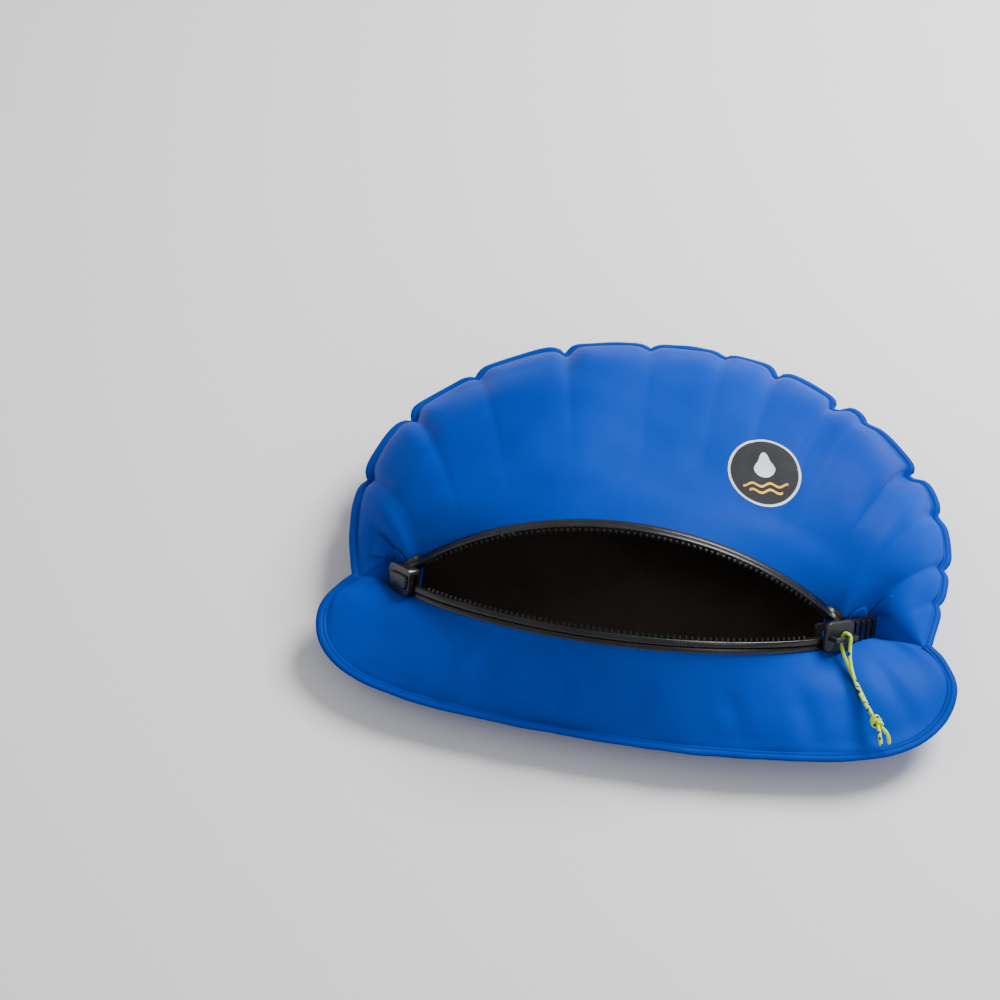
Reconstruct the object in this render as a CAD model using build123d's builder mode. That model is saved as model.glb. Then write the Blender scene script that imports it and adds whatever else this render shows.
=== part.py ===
"""Clamshell dry bag: a pillow of welded coated fabric with a curved airtight zip across its top.

Units are millimetres. +X runs along the zip from its docking end to its open end, -Y is the
front, where the mouth looks, and +Z is up. The origin is the bottom centre of the bag's box.
The bag lies filled and open, as it stands in use.
"""

from build123d import *
from math import asin, cos, degrees, hypot, pi, radians, sin, sqrt, tan
import os

# ---------------------------------------------------------------- driving dimensions
bag_half_length = 266.0
bag_half_depth = 200.0
weld = 6.0  # how far the welded flange stands out from the lobes
weld_gap = 1.4  # from a lobe's outline to the flange's solid
weld_thickness = 1.6
wall = 2.5  # thickness that the fabric's solids have; the fabric itself is 0.5
base_thickness = 3.0
clearance = 0.3

# The zip: each lip is an arc in a plane of its own, and both planes turn about one chord.
chord_centre = Vector(-14, -81, 55)
chord_half = 186.0
arc_rise = 80.0
upper_lean = 80.0  # the open upper lip's plane, in degrees from +Y towards +Z
lower_lean = 143.0  # the lower lip's plane
arc_radius = (chord_half**2 + arc_rise**2) / (2 * arc_rise)
arc_drop = arc_radius - arc_rise  # from the chord back to the arcs' centre
end_angle = degrees(asin(chord_half / arc_radius))

rail_width = 11.0
rail_thickness = 6.0
lip_angle = 38.5  # half the angle that the moving lip's straight-sided strip covers
lip_strip = 26.5  # how far the lip strips reach back from the rails' meeting faces
tooth_pitch = 5.0
tooth_size = 1.8
tooth_height = 2.6
tooth_overlap = 1.2  # how far a tooth reaches past the rail's meeting face

slider_rest_angle = 44.0
slider_length = 32.0
slider_half_width = 13.0
cord_diameter = 3.0

# The two lobes of the pillow, without the weld
front_half = bag_half_length - weld
front_axis_y = -105.0
front_axis_z = 33.0
front_reach = bag_half_depth - weld + front_axis_y  # from that axis to the front edge
back_half = 250.0
back_axis_y = 25.0
back_reach = bag_half_depth - weld - back_axis_y
hollow_half = 226.0  # past this the lobes' ends are solid
side_seam_z = 45.0
back_seam_z = 78.0
crest_z = 131.0

os.makedirs("parts", exist_ok=True)


def save(builder, name):
    builder.part.label = name
    export_step(builder.part, f"parts/{name}.step")


# ---------------------------------------------------------------- frames along the zip
def lean_direction(lean):
    return Vector(0, cos(radians(lean)), sin(radians(lean)))


def lip_normal(lean):
    return Vector(1, 0, 0).cross(lean_direction(lean))


def arc_centre(lean):
    return chord_centre - lean_direction(lean) * arc_drop


def outward(lean, angle):
    """Direction from the arc's centre to the place at this angle, 0 at mid-arc and + to the right."""
    return Vector(sin(radians(angle)), 0, 0) + lean_direction(lean) * cos(radians(angle))


def profile_plane(lean, angle):
    """Plane across the zip: x points outward, y along the lip plane's normal."""
    out = outward(lean, angle)
    return Plane(origin=arc_centre(lean), x_dir=out, z_dir=out.cross(lip_normal(lean)))


def station(lean, angle):
    """Plane on the arc: x along the zip to the left, y along the normal, z outward."""
    out = outward(lean, angle)
    along = lip_normal(lean).cross(out)
    return Plane(origin=arc_centre(lean) + out * arc_radius, x_dir=along, z_dir=out)


def arc_rise_at(x):
    """Height of the lip's arc above the chord at this x, negative past the zip's ends."""
    offset = abs(x - chord_centre.X)
    if offset > chord_half:
        return -12 * (offset - chord_half) / 60
    return sqrt(arc_radius**2 - offset**2) - arc_drop


def band(lean, start, stop, radial, across, mode=Mode.ADD):
    """A strip that follows the arc: radial and across are its low and high edges."""
    with BuildSketch(profile_plane(lean, stop)) as profile:
        with Locations(((radial[0] + radial[1]) / 2 + arc_radius, (across[0] + across[1]) / 2)):
            Rectangle(radial[1] - radial[0], across[1] - across[0])
    axis = Axis(arc_centre(lean), lip_normal(lean))
    revolve(profile.sketch, axis=axis, revolution_arc=stop - start, mode=mode)


# ---------------------------------------------------------------- outline laws
def roundness(x, half, power):
    """1 in the middle, 0 at the ends, along a superellipse."""
    return max(0.0, 1 - abs(x / half) ** power) ** (1 / power)


def stations_along(half):
    return [half * sin(radians(turn)) for turn in (-78, -62, -42, -21, 0, 21, 42, 62, 78)]


def front_round(x):
    return roundness(x, front_half, 3.0 if x > 0 else 2.2)


def back_round(x):
    return roundness(x, back_half, 2.3)


def dome_height(x):
    return side_seam_z + (crest_z - side_seam_z) * roundness(x, back_half, 2.0)


def underside(x, half, lift):
    """Height of a lobe's lowest point: just over the base, and lifting off towards the sides."""
    return base_thickness + clearance + lift * (1 - roundness(x, half, 2.6))


def lip_point(x, lean):
    point = chord_centre + lean_direction(lean) * arc_rise_at(x)
    return (point.Y, point.Z)


def plane_foot(height):
    """Where the lower lip's plane meets this height."""
    rise = (height - chord_centre.Z) / sin(radians(lower_lean))
    return (chord_centre.Y + rise * cos(radians(lower_lean)), height)


def lobe_section(x, skin, closing):
    with BuildSketch(Plane.YZ.offset(x)) as section:
        with BuildLine():
            Spline(*skin)
            Polyline(skin[-1], *closing, skin[0])
        make_face()
    return section.sketch


def moved_in(skin, inward):
    """The skin's points, each moved in by the wall."""
    return [(y + wall * dy, z + wall * dz) for (y, z), (dy, dz) in zip(skin, inward)]


def front_section(x, hollow):
    """Section of the front lobe, or of its hollow, which runs out past the open sides."""
    scale = front_round(x)
    low = underside(x, front_half, 26)
    top = lip_point(x, lower_lean)
    reach = front_reach * scale
    crest = max(top[1] - 14, front_axis_z + 24 * scale)
    skin = [
        top,
        (top[0] - 12, crest if arc_rise_at(x) < 45 else top[1] - 14),
        (front_axis_y - 0.62 * reach, low + 0.62 * (crest - low)),
        (front_axis_y - reach, front_axis_z),
        (front_axis_y - 0.74 * reach, low),
    ]
    heel = plane_foot(low)
    if not hollow:
        return lobe_section(x, skin, [heel])
    skin = moved_in(skin, [(0.8, -0.6), (0.7, -0.8), (0.6, -0.9), (1, 0), (0.5, 0)])
    below = low - 8
    rim = (skin[0][0] + 14, skin[0][1] + 6)
    return lobe_section(x, skin, [(skin[-1][0], below), (heel[0] + 30, below), rim])


def back_section(x, hollow):
    """Section of the back lobe, or of its hollow, which runs out past the open sides."""
    scale = back_round(x)
    low = underside(x, back_half, 34)
    inside_mouth = arc_rise_at(x) > 0
    valley = lip_point(x, lower_lean)
    lip = lip_point(x, upper_lean) if inside_mouth else (valley[0] + 1, valley[1] + 3)
    edge_z = side_seam_z + (back_seam_z - side_seam_z) * scale
    edge = (back_axis_y + back_reach * scale, edge_z)
    crest = dome_height(x)
    span = edge[0] - lip[0]
    skin = [
        lip,
        (lip[0] + 0.22 * span, 0.25 * lip[1] + 0.75 * crest),
        (lip[0] + 0.62 * span, 0.22 * edge_z + 0.78 * crest - 4),
        edge,
        (edge[0] - 10, 0.5 * (low + edge_z) - 6),
        (edge[0] - 12 - 34 * scale, low),
    ]
    heel = plane_foot(low)
    if not hollow:
        return lobe_section(x, skin, [heel, valley])
    skin = moved_in(skin, [(0, -1.1), (0, -1.1), (0, -1.1), (-1, 0), (-1, 0), (-1, -0.2)])
    below = low - 8
    rim = [(valley[0] - 16, valley[1] + 2), (skin[0][0] - 10, skin[0][1] + 5)]
    return lobe_section(x, skin, [(skin[-1][0], below), (heel[0] - 30, below), *rim])


# ---------------------------------------------------------------- the bag's fabric
def lobe(section, half):
    loft([section(x, False) for x in stations_along(half)])
    hollow = [hollow_half * share for share in (-1, -0.66, 0, 0.66, 1)]
    loft([section(x, True) for x in hollow], mode=Mode.SUBTRACT)


def clear_of_lip(lean, across, wide):
    """Take away the stretch of skin that a lip's strip stands in."""
    band(lean, -wide, wide, (-16, 24), across, mode=Mode.SUBTRACT)


def plan_edge(law, half, reach, axis_y, grow=0):
    """Points along a lobe's edge in plan, from its left end to its right."""
    places = [half * sin(radians(-84 + 14 * i)) for i in range(13)]
    share = (half + grow) / half
    reach += grow if reach > 0 else -grow
    return [(x * share, axis_y + reach * law(x)) for x in places]


def slab(plane, left, right, near, far, low, high, corner=0.0):
    """A block on a station's plane: left and right along the zip, near and far across it."""
    with BuildSketch(plane.offset(low)) as block:
        with Locations(((left + right) / 2, (near + far) / 2)):
            if corner:
                RectangleRounded(abs(right - left), far - near, corner)
            else:
                Rectangle(abs(right - left), far - near)
    extrude(block.sketch, amount=high - low)


# ---------------------------------------------------------------- zip ends, welded to the fabric
dock_plane = station(lower_lean, -end_angle)
plate_plane = station(lower_lean, end_angle)

with BuildPart() as docking_end:
    slab(dock_plane, -18.5, 12, -12, 12, -4.5, 6.5, 5)
    slab(dock_plane, -16, 8, -6, 6, 6.5, 9, 4)
    with BuildSketch(Plane(dock_plane.origin + dock_plane.x_dir * -18.5, dock_plane.y_dir,
                           dock_plane.x_dir)) as socket:
        Rectangle(15, 4.4)
    extrude(socket.sketch, amount=9, mode=Mode.SUBTRACT)
    fillet(docking_end.edges().group_by(Axis(dock_plane.origin, dock_plane.z_dir))[-1], 1.5)
save(docking_end, "docking_end")

with BuildPart() as dock_seal:
    slab(dock_plane, -13.5, -10, -7, 7, -1.9, 1.9)
save(dock_seal, "dock_seal")

with BuildPart() as start_plate:
    slab(plate_plane, 14.3, -38, -11, 11, -3.5, 2.5, 2)
save(start_plate, "start_plate")

with BuildPart() as start_plate_ribs:
    for place in (-13, -20, -27, -34):
        slab(plate_plane, place - 1.2, place + 1.2, -9, 9, 2.5, 3.7)
save(start_plate_ribs, "start_plate_ribs")

with BuildPart() as zip_patch_left:
    slab(dock_plane, 4, 44, -24, 24, -5.9, -4.9, 18)
save(zip_patch_left, "zip_patch_left")

with BuildPart() as zip_patch_right:
    slab(plate_plane, -8, -60, -24, 24, -4.9, -3.9, 18)
save(zip_patch_right, "zip_patch_right")
zip_ends = (docking_end, start_plate, zip_patch_left, zip_patch_right)

# ---------------------------------------------------------------- the bag's fabric
with BuildPart() as front_panel:
    lobe(front_section, front_half)
    clear_of_lip(lower_lean, (-20, lip_strip + clearance), end_angle + 3)
    for fitting in zip_ends:
        add(fitting.part, mode=Mode.SUBTRACT)
save(front_panel, "front_panel")

with BuildPart() as back_lobe:
    lobe(back_section, back_half)
    clear_of_lip(upper_lean, (-lip_strip - clearance, 20), lip_angle + 0.4)
    for fitting in zip_ends:
        add(fitting.part, mode=Mode.SUBTRACT)

# The back lobe is an upper and an under panel, welded together in the plane of its seam.
back_slope = asin((back_seam_z - side_seam_z) / hypot(back_reach, back_seam_z - side_seam_z))
back_plane = Plane((0, back_axis_y, side_seam_z), x_dir=(1, 0, 0),
                   z_dir=(0, -sin(back_slope), cos(back_slope)))

with BuildPart() as upper_panel:
    add(back_lobe.part)
    split(bisect_by=back_plane, keep=Keep.TOP)
save(upper_panel, "upper_panel")

with BuildPart() as back_under_panel:
    add(back_lobe.part)
    split(bisect_by=back_plane, keep=Keep.BOTTOM)
save(back_under_panel, "back_under_panel")

front_edge = plan_edge(front_round, front_half, -front_reach, front_axis_y)
back_edge = plan_edge(back_round, back_half, back_reach, back_axis_y)
base_front = [(x * 0.86, y * 0.86 - 20) for x, y in front_edge]
base_back = [(x * 0.86, y * 0.78) for x, y in back_edge]
with BuildPart() as base_panel:
    with BuildSketch():
        with BuildLine():
            Spline(*base_front)
            Line(base_front[-1], base_back[-1])
            Spline(*reversed(base_back))
            Line(base_back[0], base_front[0])
        make_face()
    extrude(amount=base_thickness)
save(base_panel, "base_panel")


def crescent(plane, inner, outer):
    """The welded flange between two edge lines, on the plane that the seam lies in."""
    with BuildSketch(plane.offset(-weld_thickness / 2)) as ring:
        for points, mode in ((outer, Mode.ADD), (inner, Mode.SUBTRACT)):
            with BuildLine():
                Spline(*points)
                Line(points[0], points[-1])
            make_face(mode=mode)
    extrude(ring.sketch, amount=weld_thickness)


def welded_edge(law, half, reach, axis_y, slope):
    """Edge lines of a flange, measured on its sloping plane from the lobe's axis."""
    stretch = 1 / cos(slope)
    lines = []
    for grow in (weld_gap, weld):
        edge = plan_edge(law, half, reach, axis_y, grow)
        lines.append([(x, (y - axis_y) * stretch) for x, y in edge])
    return lines


with BuildPart() as front_weld:
    crescent(Plane((0, front_axis_y, front_axis_z)),
             *welded_edge(front_round, front_half, -front_reach, front_axis_y, 0))
save(front_weld, "front_weld")

with BuildPart() as back_weld:
    crescent(back_plane, *welded_edge(back_round, back_half, back_reach, back_axis_y, back_slope))
save(back_weld, "back_weld")

# ---------------------------------------------------------------- lips and zip
rail_bead = (-rail_thickness / 2, rail_thickness / 2)
bead_face = 1.6  # from the meeting plane back to a bead
bead_width = 5.0
rail_back = bead_face + rail_width
lower_span = (-42.0, 43.2)  # from the docking end to the start plate
lip_span = (-lip_angle, lip_angle)
rail_band = (-1.8, 1.8)  # low and high faces of a rail's flat band
groove_width = 1.2
groove_floor = 1.0
tape_faces = (-2.7, -1.9)
tape_hold = 3.0  # how far the tape runs in under the rail
strip_faces = (-1.5, 1.0)  # of the fabric strip welded over the tape


def rail(lean, span, side):
    """A moulded rail: a fat bead, and a grooved flat band behind it."""
    bead = sorted((side * bead_face, side * (bead_face + bead_width)))
    flat = sorted((side * (bead_face + bead_width), side * rail_back))
    groove = sorted((side * (bead_face + bead_width), side * (bead_face + bead_width + groove_width)))
    band(lean, *span, rail_bead, bead)
    band(lean, *span, rail_band, flat)
    band(lean, *span, (groove_floor, rail_band[1]), groove, mode=Mode.SUBTRACT)


def teeth(lean, span, side, phase):
    """Teeth that reach past the meeting plane into the gaps of the other rail's."""
    pitch = degrees(tooth_pitch / arc_radius)
    count = int((span[1] - span[0]) / pitch)
    depth = bead_face + tooth_overlap
    for i in range(count):
        place = station(lean, span[0] + pitch * (i + phase))
        middle = side * (bead_face - depth / 2)
        with BuildSketch(place.offset(-tooth_height / 2)) as tooth:
            with Locations((0, middle)):
                Rectangle(tooth_size, depth)
        extrude(tooth.sketch, amount=tooth_height)


with BuildPart() as lower_zip_rail:
    rail(lower_lean, lower_span, 1)
save(lower_zip_rail, "lower_zip_rail")

with BuildPart() as upper_zip_rail:
    rail(upper_lean, lip_span, -1)
save(upper_zip_rail, "upper_zip_rail")

with BuildPart() as lower_zip_teeth:
    teeth(lower_lean, lip_span, 1, 0.25)
save(lower_zip_teeth, "lower_zip_teeth")

with BuildPart() as upper_zip_teeth:
    teeth(upper_lean, lip_span, -1, 0.75)
save(upper_zip_teeth, "upper_zip_teeth")

with BuildPart() as lower_zip_tape:
    band(lower_lean, *lower_span, tape_faces, (rail_back - tape_hold, lip_strip))
save(lower_zip_tape, "lower_zip_tape")

with BuildPart() as upper_zip_tape:
    band(upper_lean, *lip_span, tape_faces, (-lip_strip, tape_hold - rail_back))
save(upper_zip_tape, "upper_zip_tape")

with BuildPart() as lower_lip_panel:
    band(lower_lean, *lower_span, strip_faces, (rail_back + clearance, lip_strip))
save(lower_lip_panel, "lower_lip_panel")

with BuildPart() as upper_lip_panel:
    band(upper_lean, *lip_span, strip_faces, (-lip_strip, -rail_back - clearance))
save(upper_lip_panel, "upper_lip_panel")

# ---------------------------------------------------------------- slider
slider_plane = station(lower_lean, slider_rest_angle)
half = slider_length / 2
slider_low, slider_high = 4.2, 8.2  # faces of the plate outside the zip
under_low, under_high = -9.2, -6.4  # and of the plate inside the bag
bar_low, bar_high = 13.8, 17.4
bar_half_length, bar_half_width = 13.0, 2.2
leg_place, leg_half = 11.2, 1.8

with BuildPart() as slider_body:
    slab(slider_plane, -half, half, -slider_half_width, slider_half_width, slider_low, slider_high, 6)
    fillet(slider_body.edges().group_by(Axis(slider_plane.origin, slider_plane.z_dir))[-1], 1.4)
save(slider_body, "slider_body")

with BuildPart() as slider_underside:
    slab(slider_plane, -half + 2, half - 2, -8, 12, under_low, under_high, 4)
save(slider_underside, "slider_underside")

with BuildPart() as slider_bridge:
    slab(slider_plane, -bar_half_length, bar_half_length, -bar_half_width, bar_half_width,
         bar_low, bar_high)
    for place in (-leg_place, leg_place):
        slab(slider_plane, place - leg_half, place + leg_half, -bar_half_width, bar_half_width,
             slider_high, bar_low)
    fillet(slider_bridge.edges().group_by(Axis(slider_plane.origin, slider_plane.z_dir))[-1], 1)
save(slider_bridge, "slider_bridge")

# ---------------------------------------------------------------- pull cord
# Points on the slider's plane: to the left, down the front, and away from the fabric.
front_strand = [(0, 2, 10.6), (0, 9, 11.2), (1.5, 19, 21), (3.5, 31, 36), (6, 43, 52), (8, 50.5, 63)]
back_strand = [(0, 2, 10.6), (0, -5, 10.6), (0, -5, 20.6), (0.6, 6, 21), (4, 18, 27),
               (7.5, 30, 39), (10, 41, 53), (11, 48.5, 64.5)]
tails = {"left": [(11, 54, 72), (14, 60, 78), (15, 68, 82)],
         "right": [(8, 55, 71), (5, 61, 78), (3, 69, 80)]}
knot_place = (9.5, 53, 69.5)


def corner_radii(points):
    """The largest arc that the two runs at each corner allow."""
    places = [Vector(*point) for point in points]
    radii = []
    for before, corner, after in zip(places, places[1:], places[2:]):
        turn = (corner - before).get_angle(after - corner)
        shorter = min((corner - before).length, (after - corner).length)
        radii.append(0.45 * shorter / tan(radians(turn / 2)))
    return radii


def cord(name, points):
    """A tube along straight runs joined by arcs, placed on the slider's plane."""
    places = [slider_plane.from_local_coords(Vector(*point)) for point in points]
    radii = corner_radii(points)
    with BuildLine(Plane.XY, mode=Mode.PRIVATE) as route:
        FilletPolyline(*places, radius=radii)
    path = route.wire()
    with BuildSketch(Plane(origin=path @ 0, z_dir=path % 0)) as ring:
        Circle(cord_diameter / 2)
    sweep(ring.sketch, path=path)
    print(name, "length", round(path.length, 1), "radii", [round(radius, 1) for radius in radii])
    return path


for name, points in (("pull_cord_front", front_strand), ("pull_cord_back", back_strand),
                     ("cord_tail_left", tails["left"]), ("cord_tail_right", tails["right"])):
    with BuildPart() as strand:
        path = cord(name, points)
    section = pi * (cord_diameter / 2) ** 2
    print(name, "volume over section times length", round(strand.part.volume / section / path.length, 4))
    save(strand, name)

with BuildPart() as pull_knot:
    with Locations(slider_plane.location * Location(knot_place)):
        Sphere(4.6)
    with Locations(slider_plane.location * Location((knot_place[0] + 1, 55, 71))):
        Sphere(4.2)
save(pull_knot, "pull_knot")
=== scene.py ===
"""The looks of the clamshell dry bag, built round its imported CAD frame. Units are metres."""
from math import asin, cos, degrees, pi, radians, sin

import bmesh
import bpy
import numpy as np
from mathutils import Matrix, Vector, noise as mathnoise
from mathutils.bvhtree import BVHTree


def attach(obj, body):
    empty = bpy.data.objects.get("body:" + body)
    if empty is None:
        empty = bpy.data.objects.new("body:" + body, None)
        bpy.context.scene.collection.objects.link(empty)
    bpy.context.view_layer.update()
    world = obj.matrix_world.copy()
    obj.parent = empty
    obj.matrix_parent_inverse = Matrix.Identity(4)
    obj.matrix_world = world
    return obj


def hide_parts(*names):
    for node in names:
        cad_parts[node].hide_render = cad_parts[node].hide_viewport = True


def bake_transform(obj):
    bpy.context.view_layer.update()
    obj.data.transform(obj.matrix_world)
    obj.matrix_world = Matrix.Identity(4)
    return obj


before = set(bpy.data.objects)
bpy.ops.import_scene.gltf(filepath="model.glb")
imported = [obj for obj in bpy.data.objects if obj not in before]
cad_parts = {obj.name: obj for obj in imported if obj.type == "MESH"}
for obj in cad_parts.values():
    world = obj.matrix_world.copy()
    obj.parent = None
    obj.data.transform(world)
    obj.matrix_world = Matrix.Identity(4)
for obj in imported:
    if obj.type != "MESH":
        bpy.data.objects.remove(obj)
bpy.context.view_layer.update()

# ---------------------------------------------------------------- the zip's frame, as in the CAD
CHORD = np.array([-0.014, -0.081, 0.055])
CHORD_HALF = 0.186
ARC_RISE = 0.080
UPPER_LEAN = 80.0
LOWER_LEAN = 143.0
ARC_RADIUS = (CHORD_HALF**2 + ARC_RISE**2) / (2 * ARC_RISE)
ARC_DROP = ARC_RADIUS - ARC_RISE
END_ANGLE = degrees(asin(CHORD_HALF / ARC_RADIUS))
LIP_ANGLE = 38.5      # the stiff stretch of the moving lip ends here
TWIST_START = 41.0    # and past here it twists into line with the lower lip,
TWIST_END = END_ANGLE - 0.2    # all the way by here
LIP_HEIGHT = 0.079    # of the upper lip's top over the chord
RAIL_BACK = 0.0126    # from the zip's middle to the back of a rail
SLIDER_ANGLE = 44.0
CORD_DIAMETER = 0.003
UP = np.array([0, 0, 1.0])
IN_PLAN = np.array([1, 1, 0])


def lean_direction(lean):
    return np.array([0, cos(radians(lean)), sin(radians(lean))])


def lip_normal(lean):
    return np.array([0, -sin(radians(lean)), cos(radians(lean))])


def lip_frame(lean, angle):
    """Point on the arc, direction outward, and the plane's normal."""
    d = lean_direction(lean)
    out = np.array([sin(radians(angle)), 0, 0]) + d * cos(radians(angle))
    return CHORD - d * ARC_DROP + out * ARC_RADIUS, out, lip_normal(lean)


def smooth(t):
    t = np.clip(t, 0, 1)
    return t * t * (3 - 2 * t)


def upper_frame(angle):
    """The same on the upper lip, which twists into line with the lower one at the zip's ends."""
    share = float(smooth((abs(angle) - TWIST_START) / (TWIST_END - TWIST_START)))
    out, normal = lip_frame(UPPER_LEAN + (LOWER_LEAN - UPPER_LEAN) * share, angle)[1:]
    return lip_frame(UPPER_LEAN, angle)[0], out, normal


def station_matrix(lean, angle):
    """Local x along the zip to the left, y along the normal, z outward."""
    point, out, normal = lip_frame(lean, angle)
    along = np.cross(normal, out)
    matrix = Matrix.Identity(4)
    for i, axis in enumerate((along, normal, out)):
        matrix.col[i][:3] = axis
    matrix.col[3][:3] = point
    return matrix


# ---------------------------------------------------------------- camera, light and floor
CAMERA_AZIMUTH = 9.0
CAMERA_ELEVATION = 50.0
CAMERA_DISTANCE = 2.007
CAMERA_LENS = 85.0
SENSOR = 36.0
AIM = np.array([-0.006, -0.035, 0.060])    # this point of the bag
AIM_SHARE = (0.137, -0.060)                # lands this far right of and above the view's centre


def camera():
    azimuth, elevation = radians(CAMERA_AZIMUTH), radians(CAMERA_ELEVATION)
    back = np.array([sin(azimuth) * cos(elevation), -cos(azimuth) * cos(elevation), sin(elevation)])
    right = np.array([cos(azimuth), sin(azimuth), 0])
    up = np.cross(back, right)
    across = SENSOR / CAMERA_LENS * CAMERA_DISTANCE
    place = AIM + back * CAMERA_DISTANCE - right * AIM_SHARE[0] * across - up * AIM_SHARE[1] * across
    data = bpy.data.cameras.new("camera")
    data.lens, data.sensor_width = CAMERA_LENS, SENSOR
    obj = bpy.data.objects.new("camera", data)
    matrix = Matrix.Identity(4)
    for i, axis in enumerate((right, up, back)):
        matrix.col[i][:3] = axis
    matrix.col[3][:3] = place
    obj.matrix_world = matrix
    bpy.context.scene.collection.objects.link(obj)
    bpy.context.scene.camera = obj


def area_light(name, place, aim, size, power):
    data = bpy.data.lights.new(name, "AREA")
    data.shape, data.size, data.energy = "DISK", size, power
    obj = bpy.data.objects.new(name, data)
    obj.location = place
    direction = Vector(aim) - Vector(place)
    obj.rotation_euler = direction.to_track_quat("-Z", "Y").to_euler()
    bpy.context.scene.collection.objects.link(obj)


def studio():
    area_light("key", (1.0, 1.1, 1.7), (0.05, 0.05, 0.08), 1.3, 92)
    area_light("fill", (-1.7, -0.4, 1.6), (0, 0, 0.05), 1.6, 6)
    area_light("front", (1.5, -1.4, 1.3), (0.1, -0.1, 0.05), 1.2, 9)
    world = bpy.data.worlds.new("studio")
    bpy.context.scene.world = world
    world.use_nodes = True
    background = world.node_tree.nodes["Background"]
    background.inputs["Color"].default_value = (1, 1, 1, 1)
    background.inputs["Strength"].default_value = 0.42
    bpy.ops.mesh.primitive_plane_add(size=8, location=(0, 0, 0))
    floor = bpy.context.object
    floor.name = "studio_floor"
    floor.data.materials.append(plain_material("pale_floor", (0.86, 0.86, 0.86), 0.9))


# ---------------------------------------------------------------- materials
def new_material(name):
    material = bpy.data.materials.new(name)
    material.use_nodes = True
    tree = material.node_tree
    return material, tree, tree.nodes["Principled BSDF"]


def plain_material(name, colour, roughness):
    material, _tree, shader = new_material(name)
    shader.inputs["Base Color"].default_value = (*colour, 1)
    shader.inputs["Roughness"].default_value = roughness
    return material


def noise(tree, scale, detail=3.0, roughness=0.5):
    coordinates = tree.nodes.new("ShaderNodeTexCoord")
    node = tree.nodes.new("ShaderNodeTexNoise")
    node.inputs["Scale"].default_value = scale
    node.inputs["Detail"].default_value = detail
    node.inputs["Roughness"].default_value = roughness
    tree.links.new(coordinates.outputs["Object"], node.inputs["Vector"])
    return node


def ramp(tree, source, low, high, start=0.0, end=1.0):
    node = tree.nodes.new("ShaderNodeValToRGB")
    node.color_ramp.elements[0].position = start
    node.color_ramp.elements[1].position = end
    node.color_ramp.elements[0].color = (*low, 1)
    node.color_ramp.elements[1].color = (*high, 1)
    tree.links.new(source, node.inputs["Fac"])
    return node.outputs["Color"]


def to_range(tree, source, low, high):
    node = tree.nodes.new("ShaderNodeMapRange")
    node.inputs["To Min"].default_value = low
    node.inputs["To Max"].default_value = high
    tree.links.new(source, node.inputs["Value"])
    return node.outputs["Result"]


def combine(tree, operation, first, second):
    node = tree.nodes.new("ShaderNodeMath")
    node.operation = operation
    for socket, value in zip(node.inputs, (first, second)):
        if isinstance(value, (int, float)):
            socket.default_value = value
        else:
            tree.links.new(value, socket)
    return node.outputs[0]


def bump(tree, shader, height, strength, distance):
    node = tree.nodes.new("ShaderNodeBump")
    node.inputs["Strength"].default_value = strength
    node.inputs["Distance"].default_value = distance
    tree.links.new(height, node.inputs["Height"])
    tree.links.new(node.outputs["Normal"], shader.inputs["Normal"])


def weave(tree, pitch):
    """A plain weave: threads along X and along Y, each a soft wave."""
    coordinates = tree.nodes.new("ShaderNodeTexCoord")
    split = tree.nodes.new("ShaderNodeSeparateXYZ")
    tree.links.new(coordinates.outputs["Object"], split.inputs[0])
    waves = []
    for axis in ("X", "Y"):
        turn = combine(tree, "MULTIPLY", split.outputs[axis], 2 * pi / pitch)
        waves.append(combine(tree, "SINE", turn, 0.0))
    return combine(tree, "MULTIPLY", *waves)


THREAD_PITCH = 0.0011


def coated_fabric(name, dark, light, roughness, weave_strength=0.22):
    """Nylon with a satin coating: a fine weave, slow colour drift and faint scuffs."""
    material, tree, shader = new_material(name)
    shades = noise(tree, 7.0, 4.0)
    tree.links.new(ramp(tree, shades.outputs["Fac"], dark, light, 0.3, 0.75), shader.inputs["Base Color"])
    scuffs = noise(tree, 60.0, 6.0, 0.65)
    rough = to_range(tree, scuffs.outputs["Fac"], roughness - 0.07, roughness + 0.1)
    tree.links.new(rough, shader.inputs["Roughness"])
    crinkle = noise(tree, 190.0, 3.0)
    thread = combine(tree, "MULTIPLY", weave(tree, THREAD_PITCH), 0.3)
    height = combine(tree, "ADD", thread, crinkle.outputs["Fac"])
    bump(tree, shader, height, weave_strength, 0.00035)
    shader.inputs["Specular IOR Level"].default_value = 0.04
    return material


def moulded(name, colour, roughness, grain=320.0, strength=0.12):
    """Moulded plastic or rubber with a faint grain and slightly worn gloss."""
    material, tree, shader = new_material(name)
    shades = noise(tree, 45.0, 3.0)
    lighter = tuple(c * 1.7 + 0.004 for c in colour)
    tree.links.new(ramp(tree, shades.outputs["Fac"], colour, lighter, 0.35, 0.8),
                   shader.inputs["Base Color"])
    wear = noise(tree, 90.0, 5.0, 0.6)
    tree.links.new(to_range(tree, wear.outputs["Fac"], roughness - 0.06, roughness + 0.12),
                   shader.inputs["Roughness"])
    bump(tree, shader, noise(tree, grain, 2.0).outputs["Fac"], strength, 0.0002)
    return material


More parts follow.
